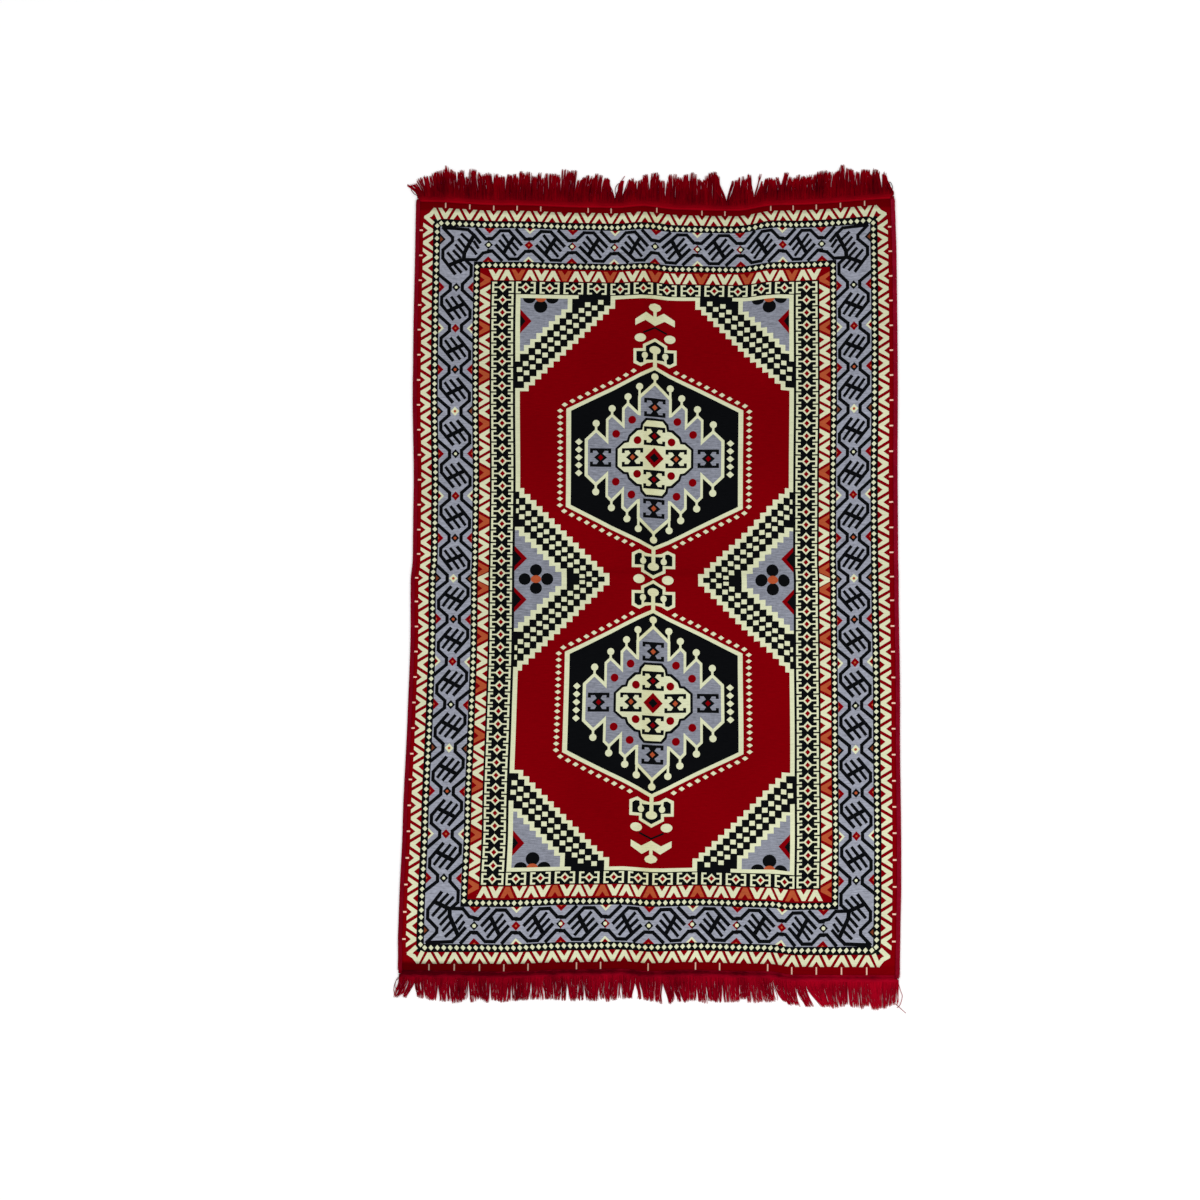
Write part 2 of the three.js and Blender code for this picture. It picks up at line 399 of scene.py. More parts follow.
# A bar with three prongs at each side of a diamond
def drawMotifs(chart):
    side = [(153.95, 6.35 + 12.7 * k, 10.95, 5.6) for k in range(24)]
    ends = [(11.9 + 23.8 * k, 298.3, 9.9, 6) for k in range(6)]
    for u, v, half, high in side + ends:
        spot = chart.spot(u, v)
        for way in (-1, 1):
            edge = way * half
            spot.block("cream", edge, edge - way * 2, -high, high)
            spot.block("cream", edge, edge - way * 5, high - 1.8, high)
            spot.block("cream", edge, edge - way * 5, -high, 1.8 - high)
            spot.block("cream", edge, way * 3.5, -0.7, 0.7)
        spot.diamond("cream", 0, 0, 4.8, 5.1)
        spot.diamond("red", 0, 0, 2.6, 2.8)


# The lavender border: diamonds on its middle line, with a comb between each two
comb = dict(line=3.4, prong=3, spine=4.1)
sideDiamonds = [0, 42.6, 85.3, 128.2, 171.3, 214, 256.1, 298.1]
endDiamonds = [0, 42.3, 85.6, 128.8, 169.7]


def drawComb(chart, hexagon, spine, prongs, farLine):
    chart.lineTwice("black", comb["line"], *hexagon)
    chart.line("black", comb["spine"], *spine, overrun=0)
    for prong in prongs:
        chart.lineTwice("black", comb["prong"], *prong, overrun=0.1)
    chart.lineTwice("black", comb["line"], *farLine, overrun=0.3)


# Triangles on the border's edges: the outer and inner yarn, and half the inner one's width
edgeTriangles = dict(red=("red", "orange", 1.5), pale=("cream", "red", 3.1), dark=("black", "brown", 3.1))


def drawEdgeTriangle(chart, kind):
    outer, inner, small = edgeTriangles[kind]
    for yarn, half in ((outer, 5.6), (inner, small)):
        chart.patch(yarn, (-half, 0), (half, 0), (0, half))


def drawBorder(chart):
    outlines = ["cream", "black", "red", "black"]
    hearts = ["orange", "orange", "orange", "cream"]
    triangles = ["dark", "red", "pale", "red"]
    middle = 201.4
    for k, v in enumerate(sideDiamonds):
        if k < 7:
            drawComb(chart.spot(middle, v + 21.25),
                     hexagon=[(-6.1, -21.3), (-6.1, -18), (-14.5, -10.6), (-14.5, -2.8), (-2.6, 11.8)],
                     spine=[(-8.7, 4.2), (8.7, -4.2)],
                     prongs=[[(-10.4, -8.4), (-3.2, 1.5)], [(-4.9, -11), (2.7, -1.4)]],
                     farLine=[(6.1, -21.3), (6.1, -18), (17.3, -8)])
        chart.diamond(outlines[k % 4], middle, v, 4.3, 4.7)
        chart.oval(hearts[k % 4], middle, v, 1.1 if k % 4 == 2 else 1.5, sides=8)
        drawEdgeTriangle(chart.spot(184.25, v, turned=True), triangles[k % 4])
        drawEdgeTriangle(chart.spot(218.7, v, turned=True, flip=-1), triangles[k % 4])
    middle = 342.6
    for k, u in enumerate(endDiamonds):
        if k < 4:
            width = endDiamonds[k + 1] - u
            drawComb(chart.spot(u + width / 2, middle, stretch=width / 42),
                     hexagon=[(-21.3, -6.7), (-17.5, -6.7), (-10, -14.9), (-0.7, -14.9), (13.2, -0.3)],
                     spine=[(4.7, -8.3), (-4.7, 8.3)],
                     prongs=[[(-7.6, -11.2), (0, -1.7)], [(-10.3, -5.2), (-1.5, 4.3)]],
                     farLine=[(-21.3, 6.2), (-17, 6.2), (-6.8, 16.4)])
        kind = "pale" if k in (1, 3) else "red"
        drawEdgeTriangle(chart.spot(u, 325), kind)
        drawEdgeTriangle(chart.spot(u, 360, flip=-1), kind)
        outline = "red" if k == 3 else "black"
        chart.diamond(outline, u, middle, 4.5, 4.5)
        if k in (1, 2):
            chart.patch("red", (u - 4.5, middle), (u, middle - 4.5), (u, middle + 4.5))
        heart, size = ("orange", 1.1) if k == 3 else ("cream", 1.9)
        chart.oval(heart, u, middle, size, sides=8)
    drawCorner(chart)


# The doubled comb in the corner, drawn from the corner's own middle
def drawCorner(chart):
    corner = chart.spot(201.3, 342.6)
    for points in ([(14.6, 16.2), (-10, 15.2), (-16.6, 9.4), (-22.8, 2.3)],
                   [(14.6, 16), (5, 6.5), (4.9, 2.5), (14.4, -6.5), (14.4, -14.6), (1.9, -30.6)]):
        corner.line("black", comb["line"], *points)
    corner.line("black", comb["spine"], (-16, 9), (-7.3, -9), (-6.9, -15.4), overrun=0.1)
    corner.line("black", comb["spine"], (-7, -15.4), (8, -21.8), overrun=0)
    for start, end in [
            [(-3.4, 10.6), (-11.8, 2.9)], [(-0.8, 5.2), (-9.1, -4.3)], [(1.9, -0.6), (-6.4, -9.7)],
            [(4, -6.6), (-3.7, -14.4)], [(9.9, -8.9), (1.7, -18)], [(-16.3, 3.6), (-21.7, -4)],
            [(-13.1, -2.2), (-19.7, -10.2)], [(2.4, -21.6), (-4.9, -29.4)], [(-3, -18.8), (-10.3, -26.5)]]:
        corner.line("black", comb["prong"], start, end, overrun=0.1)
    for points in ([(-7, -15.8), (-19.8, -15.8), (-26.5, -8.6), (-34, -6.8)],
                   [(-8.5, -16.3), (-14.6, -21.8), (-14.6, -32.3), (-6.1, -41.3), (-6.1, -45)],
                   [(-18.5, 16.5), (-28.3, 6.2), (-34, 6.2)], [(18.5, -31.4), (6.1, -41.3), (6.1, -45)]):
        corner.line("black", comb["line"], *points)
    drawEdgeTriangle(chart.spot(218.7, 347, turned=True, flip=-1), "dark")


# The field: red, with stepped bands of little squares round a triangle in each corner and at each side
def drawField(chart):
    midStep, cornerStep, farStep = (6.24, 6.19), (6.17, -6.17), (6.17, -6.19)
    endU, endV = field
    innerU, innerV = innerField
    chart.block("black", -1, endU, -1, endV)
    for yarn, edgeU, edgeV, (u, v), (topU, topV), (farU, farV), (lowU, lowV) in (
            ("cream", endU, endV, (49.25, 2.6), (136.6, 89.3), (45.3, 280.7), (131.7, 194.4)),
            ("red", innerU, innerV, (44.4, 6.1), (131.8, 92.8), (40.7, 277.6), (127.1, 191.2))):
        steps = reversed(stair(farU, farV, *cornerStep, 14) + [(lowU, lowV)])
        chart.patch(yarn, (-1, -1), (u, -1), *stair(u, v, *midStep, 14), (topU, topV), (edgeU, topV),
                    (edgeU, lowV), *steps, (farU, edgeV), (-1, edgeV))
    for yarn, u, v, topU, topV in (("cream", 87.6, 10.6, 131.3, 53.9), ("dusk", 92.8, 7.2, 136.5, 50.5)):
        chart.patch(yarn, (u, -1), *stair(u, v, *midStep, 7), (topU, topV), (endU, topV), (endU, -1))
    steps = reversed(stair(84.2, 273.2, *farStep, 7) + [(127.4, 229.9)])
    chart.patch("cream", (77.9, endV), (endU, endV), (endU, 222), (innerU, 222), (innerU, 229.9), *steps,
                (84.2, innerV), (77.9, innerV))
    steps = reversed(stair(88.7, 276.2, *farStep, 7) + [(131.9, 232.9)])
    chart.patch("dusk", (innerU, innerV), (innerU, 232.9), *steps, (88.7, innerV))
    halfU, halfV = 2.65, 2.4
    for u, v, (stepU, stepV), first, last in (
            (64.8, 5.2, midStep, 0, 11), (77.7, 8.2, midStep, 0, 9),
            (49.1, 290.4, cornerStep, 1, 14), (50, 300, cornerStep, 3, 14)):
        for k in range(first, last + 1):
            a, b = u + stepU * k, v + stepV * k
            chart.block("cream", a - halfU, a + halfU, b - halfV, b + halfV)
    chart.block("cream", 57, 62.2, -1, 1.6)
    chart.block("cream", 69.3, 74.6, 1.1, 4.8)
    for v in (70.1, 79.5):
        chart.block("cream", 137.1, 139.7, v - halfV, v + halfV)


def drawFieldMotifs(chart):
    for u, v, yarn, half, depth in ((field[0], 21.5, "red", 12.9, 12.6), (field[0], 21.5, "black", 8.2, 7.2),
                                    (innerField[0], 263.8, "red", 12.6, 11.6),
                                    (innerField[0], 263.8, "black", 7.2, 5.6)):
        chart.patch(yarn, (u, v - half), (u, v + half), (u - depth, v))
    flower = chart.spot(118.7, 0)
    for a, b in ((-11.4, 0), (11.4, 0), (0, 9.4)):
        flower.oval("black", a, b, 6.2)
    flower.oval("orange", 0, 0, 5.3, 4, sides=16)
    flower = chart.spot(115.6, 287.5, flip=-1)
    flower.arch("black", -11.4, 6.4, 5.4)
    flower.arch("black", 11.4, 6.4, 5.4)
    flower.oval("black", 0, 8.5, 6.8, 6.6, 18)
    flower.arch("orange", 0, 5.4, 3.9)


# Two barred hooks round a coloured heart
def drawHooks(chart, heart):
    for way in (-1, 1):
        chart.block("black", -10.8, 10.8, way * 6.9, way * 9.5)
        for side in (-1, 1):
            chart.block("black", side * 7.8, side * 10.8, way * 4.5, way * 8)
        chart.patch("black", (-4.4, way * 7.5), (4.4, way * 7.5), (1.8, way * 3.6), (-1.8, way * 3.6))
    chart.diamond("black", 0, 0, 6.7, 5.6)
    chart.diamond(heart, 0, 0, 2.7, 2.9)


medallion = dict(centre=123.2, ball=3.6, stem=2.3)


# One half of a medallion, from its middle towards a point of its hexagon
def drawMedallion(chart, flip):
    half = chart.spot(0, medallion["centre"], flip=flip)
    half.patch("cream", (0, -1), (89.3, -1), (89.3, 50), (0, 93.9), (-1, 93.9))
    half.patch("black", (0, -1), (84.5, -1), (84.5, 48), (0, 89.9), (-1, 89.9))
    half.patch("cream", (-1, -1), (70.6, -1), (70.6, 18.8), (59.2, 29.6), (49.2, 20.4), (49.2, 39.8),
               (43.1, 45.6), (33, 35.8), (33, 51), (27.1, 56.8), (17, 46.6), (17, 62), (13.9, 64.9),
               (0, 78.2), (-1, 78.2))
    half.patch("dusk", (-1, -1), (67.4, -1), (67.4, 17.6), (59.2, 25.5), (49.4, 16.3), (46.7, 13.6),
               (46.7, 38.4), (43.2, 41.8), (33.1, 32.2), (30.4, 29.3), (30.4, 49.4), (27.2, 52.8),
               (17, 42.9), (14.2, 42.3), (14.2, 60.4), (0, 74), (-1, 74))
    for a, b, foot in ((59.2, 35, 28), (43.1, 50.6, 44), (27.1, 62.1, 55), (15.5, 72.2, 45), (0, 82.9, 76)):
        half.block("cream", a - medallion["stem"] / 2, a + medallion["stem"] / 2, foot, b)
        half.oval("cream", a, b, medallion["ball"])
    half.patch("black", (-1, -1), (39.5, -1), (39.5, 9.6), (31.4, 17), (28, 17.4), (26.4, 22.4),
               (18.8, 29.6), (14.6, 30), (13.8, 35), (9, 40.2), (-1, 40.2))
    half.patch("cream", (-1, -1), (37, -1), (37, 8.7), (30.3, 14.7), (26, 15.3), (24.4, 20.6), (17, 27.2),
               (12.4, 27.8), (11.4, 33.4), (7.8, 37.8), (-1, 37.8))
    drawHooks(half.spot(0, half.v + flip * 22.1), "red")
    drawHooks(half.spot(0, half.v + flip * 51.3), "orange")
    for a, b in ((17.2, 17.2), (22.8, 38.1), (38.9, 24.5)):
        half.oval("red", a, b, 4, 4.1)
    for k in range(10):
        half.dot("cream", 21.6 + 7.7 * k, 88.6 - 3.82 * k, 3.1, 2.3)


def drawMedallions(chart):
    for flip in (1, -1):
        drawMedallion(chart, flip)
    middle = chart.spot(0, medallion["centre"])
    drawHooks(chart.spot(22.1, middle.v), "orange")
    drawHooks(chart.spot(54.5, middle.v), "red")
    middle.diamond("red", 0, 0, 9.6, 10.4)
    middle.diamond("black", 0, 0, 4.6, 4.9)
    for b in (-16, -8, 0, 8, 16):
        middle.dot("cream", 76.6, b, 3.8, 3.4)
    for k in range(16):
        middle.dot("cream", 95.4, -48.3 + 6.42 * k, 3.1, 2.2)


# The hanging ornament at a point of the hexagon; b runs away from it
def drawPendant(chart, flip):
    tip = medallion["centre"] + flip * 93.9
    spot = chart.spot(0, tip, flip=flip)
    spot.patch("cream", (-1, 3.9), (1.9, 3.9), (8, 2.7), (14, -0.8), (21.8, 2.8), (21.8, 17.9), (12.2, 17.9),
               (12.2, 22.2), (0, 28.8), (-1, 28.3))
    spot.patch("black", (-1, 6.4), (8.3, 6.2), (12.4, 3.2), (15.5, 2.9), (18.9, 5.2), (18.9, 15), (9.3, 15),
               (9.3, 20.3), (0, 25.4), (-1, 24.9))
    spot.block("cream", -1.9, 1.9, -2, 13)
    spot.oval("cream", 0, 16.6, 5.6, 4.1, 18)
    spot.line("cream", 2.4, (10.7, 2.5), (10.3, 9))
    spot.oval("cream", 10.3, 10.9, 3.1, 3.4)
    if flip > 0:
        spot.oval("cream", 14.9, 29, 5.8, 4.3, 18)
        spot.line("black", 1.8, (-1.2, 39.1), (0, 39.7), (11.5, 34.6))
        spot.patch("cream", (0, 41.5), (9.6, 47.2), (20, 42), (20, 48.6), (9, 55.8), (1.6, 51), (1.6, 60),
                   (-1, 60), (-1, 42))
        spot.patch("cream", (-1, 54.8), (0, 55.2), (5.2, 58.6), (6.3, 61.2), (4.6, 64), (0, 65.4),
                   (-1, 65.4))
    else:
        spot.oval("cream", 14.4, 29.3, 5.8, 4.4, 18)
        spot.line("shadowRed", 0.9, (0, 29.3), (8.4, 24.4))


# All shapes, in the order in which each covers those before it
def drawDesign():
    shapes = []
    chart = Chart(shapes)
    for draw in (drawBands, drawDots, drawOuterZigzag, drawInnerZigzag, drawMotifs, drawBorder, drawField,
                 drawFieldMotifs, drawMedallions):
        draw(chart)
    for flip in (1, -1):
        drawPendant(chart, flip)
    return shapes


# Extra corners, so that the cloth can bend: even ones, and close ones over the two fold marks
def bendingPoints():
    foldColumns = [0, 3.4, 7.4, 11, 14.6, 19]
    foldRows = [0, 3.4, 6.8, 10.2, 14, 18.4]
    evenU = [30 + 13.5 * k for k in range(15)] + [228, 238]
    evenV = [30 + 14 * k for k in range(25)] + [375, 381]
    points = {(u, v) for u in foldColumns + evenU for v in foldRows + evenV}
    points |= {(u, 6 * k) for u in foldColumns[:5] for k in range(63)}
    points |= {(6 * k, v) for v in foldRows[:5] for k in range(39)}
    edges = [chartEdge * k / 18 for k in range(19)], [chartEnd * k / 28 for k in range(29)]
    points |= {(u, chartEnd) for u in edges[0]} | {(chartEdge, v) for v in edges[1]}
    return sorted(points)


longestEdge = 16                # a longer edge of a shape is divided, so that it bends with the cloth


def weaveQuarter():
    shapes = drawDesign()
    corners, faces = [], []
    for _, outline in shapes:
        first = len(corners)
        for a, b in zip(outline, outline[1:] + outline[:1]):
            parts = max(1, round(math.dist(a, b) / longestEdge))
            for k in range(parts):
                corners.append(Vector((mix(a[0], b[0], k / parts), mix(a[1], b[1], k / parts))))
        faces.append(list(range(first, len(corners))))
    corners += [Vector(p) for p in bendingPoints()]
    points, _, triangles, _, _, covers = delaunay_2d_cdt(corners, [], faces, 1, 1e-4)
    woven = [(tuple(t), shapes[max(cover)][0]) for t, cover in zip(triangles, covers) if 0 in cover]
    used = sorted({i for t, _ in woven for i in t})
    number = {old: new for new, old in enumerate(used)}
    return [tuple(points[i]) for i in used], [(tuple(number[i] for i in t), yarn) for t, yarn in woven]


quarterPoints, quarterFaces = weaveQuarter()
print("chart woven:", len(quarterPoints), "points,", len(quarterFaces), "faces a quarter")


# Yarn colours, and how slubby each yarn is
yarns = dict(
    red=linear(116, 0, 7, 0.2), black=linear(11, 12, 14, 0.3), cream=linear(203, 206, 172, 0.2),
    lavender=linear(141, 144, 156, 0.7), dusk=linear(125, 128, 139, 0.7), orange=linear(162, 75, 44, 0.3),
    brown=linear(105, 50, 28, 0.3), tick=linear(226, 190, 168, 0.2), shadowRed=linear(95, 0, 4, 0.2),
)


def makeObject(name, points, faces, edges=()):
    mesh = bpy.data.meshes.new(name)
    mesh.from_pydata(points, edges, faces)
    mesh.update()
    piece = bpy.data.objects.new(name, mesh)
    scene.collection.objects.link(piece)
    return piece


def finish(piece, node, slot, *materials):
    for material in materials:
        piece.data.materials.append(material)
    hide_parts(node)
    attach(piece, "root")


def startMaterial(name, roughness):
    material = bpy.data.materials.new(name)
    material.use_nodes = True
    shader = material.node_tree.nodes["Principled BSDF"]
    shader.inputs["Roughness"].default_value = roughness
    shader.inputs["Specular IOR Level"].default_value = 0
    return material, material.node_tree, shader


def endMaterial(tree, shader, colour, height, distance):
    bump = addNode(tree, "ShaderNodeBump", None, {"Strength": 0.7, "Distance": distance, "Height": height})
    tree.links.new(colour.socket, shader.inputs["Base Color"])
    tree.links.new(bump.socket, shader.inputs["Normal"])


def noise(tree, place, scale, detail=2.0):
    return addNode(tree, "ShaderNodeTexNoise", None, {"Vector": place, "Scale": scale, "Detail": detail})


def grey(tree, value):
    return addNode(tree, "ShaderNodeCombineColor", None, {"Red": value, "Green": value, "Blue": value})


def combine(tree, x, y, z=0.0):
    return addNode(tree, "ShaderNodeCombineXYZ", None, (x, y, z))


# The flat weave: warps run along the rug, and picks of weft run across it. Lengths are in millimetres, but
# the bump is in metres. A shade is a share of the yarn's brightness. Slubs, mottle and the broad patches are
# the yarn's own uneven tone. The valleys between ribs and warps are darkened as painted shade, and so are
# the lines of the two old folds and both ends by the heading; the lengthwise fold is also yellowed, a real
# stain.
# The slant is painted light, brighter towards the right of the foot, together with some uneven dye.
weave = dict(
    pick=2.365, warp=4.73, bump=0.0005, valleyPaintedShade=0.93, ribPaintedShade=0.09, warpPaintedShade=0.04,
    slubAcross=0.045, slubAlong=0.5, slubShade=2.2, mottleScale=0.16, mottleShade=0.8,
    broadScale=0.0042, broadShade=0.3, paintedLightSlant=0.5, paintedLightReach=900, paintedLightAndAbrashDepth=0.12,
    fold=(-8, 3, 40), foldPaintedShade=0.06, crossFold=(20, 2, 14), crossFoldPaintedShade=0.07,
    headEnd=(884, 893), headPaintedShade=0.35, footEnd=(886, 896), footPaintedShade=0.38, footLightSlant=0.0004,
    paleFrom=(0.3, 0.6), foldYellow=(1, 0.93, 0.74, 1), yellowing=0.45,
    ribHeight=0.6, warpHeight=0.4, slubHeight=1.2,
)


# 1 along the line of an old fold, where its painted shade and yellowing lie, and 0 away from it
def nearFold(distance, place, near, far):
    return 1 - abs(distance - place).ramp(near, far)


def weaveMaterial():
    material, tree, shader = startMaterial("woven wool", 0.95)
    yarn = addNode(tree, "ShaderNodeAttribute", {"attribute_name": "yarn"}, output="Color")
    slub = yarn.other("Alpha")
    chart = addNode(tree, "ShaderNodeUVMap", {"uv_map": "OFBake"})
    place = addNode(tree, "ShaderNodeSeparateXYZ", None, [chart])
    across = (place - 0.5) * (rug["width"] * 1000)
    along = (place.other("Y") - 0.5) * (rug["length"] * 1000)
    row = along / weave["pick"]
    rib = abs((row * math.pi).sine())
    over = 0.5 + 0.5 * ((across / weave["warp"] * 2 + row.floor()) * math.pi).sine()
    stretched = combine(tree, across * weave["slubAcross"], along * weave["slubAlong"])
    slubs = noise(tree, stretched, 1.0, 3.0) - 0.5
    mottle = noise(tree, combine(tree, across, along), weave["mottleScale"], 3.0) - 0.5
    broad = noise(tree, combine(tree, across, along), weave["broadScale"], 1.0) - 0.5
    # Painted light with some uneven dye: the cloth grows brighter towards the right of the foot
    paintedLightAndAbrash = (across * weave["paintedLightSlant"] - along).ramp(-weave["paintedLightReach"], weave["paintedLightReach"]) - 0.5
    shade = 1 + slub * (slubs * weave["slubShade"] + mottle * weave["mottleShade"])
    shade = shade + broad * weave["broadShade"] + paintedLightAndAbrash * weave["paintedLightAndAbrashDepth"]
    # Painted shade: darker in the valleys between the ribs of the picks and between the warps
    shade = shade * (weave["valleyPaintedShade"] + weave["ribPaintedShade"] * rib + weave["warpPaintedShade"] * over)
    fold = nearFold(across, *weave["fold"])
    crossFold = nearFold(along, *weave["crossFold"])
    # Painted shade on the cloth at both ends, beside the raised heading; at the foot it lightens towards the
    # right as painted light
    headPaintedShade = along.ramp(*weave["headEnd"]) * weave["headPaintedShade"]
    footPaintedShade = (0 - along).ramp(*weave["footEnd"]) * (weave["footPaintedShade"] - across * weave["footLightSlant"])
    # Painted shade along the lines of the two old folds, where the cloth creases
    shade = shade * (1 - weave["foldPaintedShade"] * fold - weave["crossFoldPaintedShade"] * crossFold)
    shade = shade * (1 - headPaintedShade) * (1 - footPaintedShade)
    colour = mixColour(tree, 1.0, yarn, grey(tree, shade), "MULTIPLY")
    pale = addNode(tree, "ShaderNodeSeparateColor", None, [yarn]).ramp(*weave["paleFrom"])
    yellowed = mixColour(tree, 1.0, colour, weave["foldYellow"], "MULTIPLY")
    colour = mixColour(tree, fold * pale * weave["yellowing"], colour, yellowed)
    height = rib * weave["ribHeight"] + over * weave["warpHeight"] + slubs * weave["slubHeight"]
    endMaterial(tree, shader, colour, height, weave["bump"])
    return material


def weaveCloth():
    points, flat, faces, colours = [], [], [], []
    number = {}

    def corner(x, y, side):
        key = (round(x, 7), round(y, 7), side)
        if key not in number:
            number[key] = len(points)
            atX, atY = laid(*settle(x, y))
            points.append((atX, atY, rise(x, y) + side * rug["thickness"]))
            flat.append((x, y))
        return number[key]

    for signU in (1, -1):
        for signV in (1, -1):
            placed = [(signU * u * chartStep, signV * v * chartStep + centreShift * (1 - v / chartEnd))
                      for u, v in quarterPoints]
            for triangle, yarn in quarterFaces:
                for side in (1, 0):
                    order = triangle if signU * signV == (1 if side else -1) else triangle[::-1]
                    faces.append([corner(*placed[i], side) for i in order])
                    colours.append(yarns[yarn])
    edges = {(a, b) for face in faces for a, b in zip(face, face[1:] + face[:1])}
    under = {top: number[(x, y, 0)] for (x, y, side), top in number.items() if side == 1}
    for a, b in [edge for edge in edges if (edge[1], edge[0]) not in edges and edge[0] in under]:
        faces.append([b, a, under[a], under[b]])
        colours.append(yarns["red"])
    piece = makeObject("woven_rug", points, faces)
    mesh = piece.data
    mesh.uv_layers.new(name="OFBake")
    mesh.color_attributes.new("yarn", "FLOAT_COLOR", "CORNER")
    places, tints = [], []
    for face, colour in zip(faces, colours):
        for k in face:
            places += [flat[k][0] / rug["width"] + 0.5, flat[k][1] / rug["length"] + 0.5]
            tints += colour
    mesh.uv_layers["OFBake"].data.foreach_set("uv", places)
    mesh.color_attributes["yarn"].data.foreach_set("color", tints)
    return piece


woven = weaveCloth()
finish(woven, "cloth", "woven_cloth", weaveMaterial())
print("cloth:", len(woven.data.polygons), "faces")


# A band with the same section all along: rows of corners, and a flat end at both ends
def makeBand(name, rows):
    around = len(rows[0])
    points = [point for row in rows for point in row]
    faces = [list(range(around))[::-1], [len(points) - around + k for k in range(around)]]
    for j in range(len(rows) - 1):
        for k in range(around):
            here, beside = j * around + k, j * around + (k + 1) % around
            faces.append([here, beside, beside + around, here + around])
    piece = makeObject(name, points, faces)
    piece.data.shade_smooth()
    return piece


def turnOutwards(piece):
    mesh = bmesh.new()
    mesh.from_mesh(piece.data)
    if mesh.calc_volume(signed=True) < 0:
        bmesh.ops.reverse_faces(mesh, faces=mesh.faces)
    mesh.to_mesh(piece.data)
    mesh.free()


# Geometry Nodes: the yarn tree sweeps yarn along paths, and the stitch tree sets stitches along one
def startTree(name, **kinds):
    tree = bpy.data.node_groups.new(name, "GeometryNodeTree")
    for label, kind in dict(Paths="Geometry", **kinds, Material="Material").items():
        tree.interface.new_socket(label, in_out="INPUT", socket_type="NodeSocket" + kind)
    tree.interface.new_socket("Yarn", in_out="OUTPUT", socket_type="NodeSocketGeometry")
    source = addNode(tree, "NodeGroupInput", output="Paths")
    given = {label: source.other(label) for label in [*kinds, "Material"]}
    return tree, given, addNode(tree, "GeometryNodeMeshToCurve", None, {"Mesh": source})


def endTree(tree, given, geometry):
    whole = addNode(tree, "GeometryNodeRealizeInstances", None, {"Geometry": geometry})
    dyed = addNode(tree, "GeometryNodeSetMaterial", None, {"Geometry": whole, "Material": given["Material"]})
    addNode(tree, "NodeGroupOutput", None, {"Yarn": dyed})
    return tree


def addCircle(tree, sides, radius):
    return addNode(tree, "GeometryNodeCurvePrimitiveCircle", {"mode": "RADIUS"},
                   {"Resolution": sides, "Radius": radius})


def yarnTree():
    tree, given, paths = startTree("yarn along paths", Thickness="Float", Sides="Int")
    taper = addNode(tree, "GeometryNodeInputNamedAttribute", {"data_type": "FLOAT"}, {"Name": "taper"})
    tubes = {"Curve": paths, "Profile Curve": addCircle(tree, given["Sides"], 1.0),
             "Scale": taper * given["Thickness"] / 2, "Fill Caps": True}
    return endTree(tree, given, addNode(tree, "GeometryNodeCurveToMesh", None, tubes))


def stitchTree():
    tree, given, paths = startTree("stitches along a path", Pitch="Float", Start="Vector", Middle="Vector",
                                   End="Vector", Thickness="Float", Bends="Int", Uneven="Float", Seed="Int")
    spots = addNode(tree, "GeometryNodeCurveToPoints", {"mode": "LENGTH"},
                    {"Curve": paths, "Length": given["Pitch"]}, output="Points")
    along = addNode(tree, "FunctionNodeAlignRotationToVector", {"axis": "X", "pivot_axis": "Z"},
                    {"Vector": spots.other("Tangent")})
    size = addNode(tree, "FunctionNodeRandomValue", {"data_type": "FLOAT"},
                   {"Min": 1 - given["Uneven"], "Max": 1 + given["Uneven"], "Seed": given["Seed"]})
    bend = {"Resolution": given["Bends"], **{label: given[label] for label in ("Start", "Middle", "End")}}
    stitch = addNode(tree, "GeometryNodeCurveToMesh", None, {
        "Curve": addNode(tree, "GeometryNodeCurveQuadraticBezier", None, bend),
        "Profile Curve": addCircle(tree, 5, given["Thickness"] / 2), "Fill Caps": True})
    return endTree(tree, given, addNode(tree, "GeometryNodeInstanceOnPoints", None, {
        "Points": spots, "Instance": stitch, "Rotation": along, "Scale": size}))


# Runs a tree on paths, each a list of (point, taper, tone), and returns the plain mesh that it makes
def growYarn(name, tree, paths, settings):
    points = [tuple(spot[0]) for path in paths for spot in path]
    edges, start = [], 0
    for path in paths:
        edges += [(start + k, start + k + 1) for k in range(len(path) - 1)]
        start += len(path)
    source = makeObject(name + "_paths", points, [], edges)
    for label, place in (("taper", 1), ("tone", 2)):
        source.data.attributes.new(label, "FLOAT", "POINT")
        values = [spot[place] for path in paths for spot in path]
        source.data.attributes[label].data.foreach_set("value", values)
    modifier = source.modifiers.new("yarn", "NODES")
    modifier.node_group = tree
    sockets = {item.name: item.identifier for item in tree.interface.items_tree if item.in_out == "INPUT"}
    for label, value in settings.items():
        modifier[sockets[label]] = value
    bpy.context.view_layer.update()
    evaluated = source.evaluated_get(bpy.context.evaluated_depsgraph_get())
    mesh = bpy.data.meshes.new_from_object(evaluated)
    bpy.data.objects.remove(source)
    mesh.materials.clear()
    mesh.materials.append(settings["Material"])
    mesh.polygons.foreach_set("material_index", [0] * len(mesh.polygons))
    piece = bpy.data.objects.new(name, mesh)
    scene.collection.objects.link(piece)
    turnOutwards(piece)
    return piece


def join(*pieces):
    whole = bmesh.new()
    materials = []
    for piece in pieces:
        before = len(whole.faces)
        whole.from_mesh(piece.data)
        whole.faces.ensure_lookup_table()
        for face in whole.faces[before:]:
            face.material_index += len(materials)
        materials += list(piece.data.materials)
    first = pieces[0]
    first.data.materials.clear()
    whole.to_mesh(first.data)
    whole.free()
    for material in materials:
        first.data.materials.append(material)
    for piece in pieces[1:]:
        bpy.data.objects.remove(piece)
    return first


# Dyed yarn of the bindings and fringes: tone runs from its dark to its bright colour
dye = dict(patchScale=22, fibresUp=900, patchShade=0.7, fibreShade=0.8, bump=0.0004)


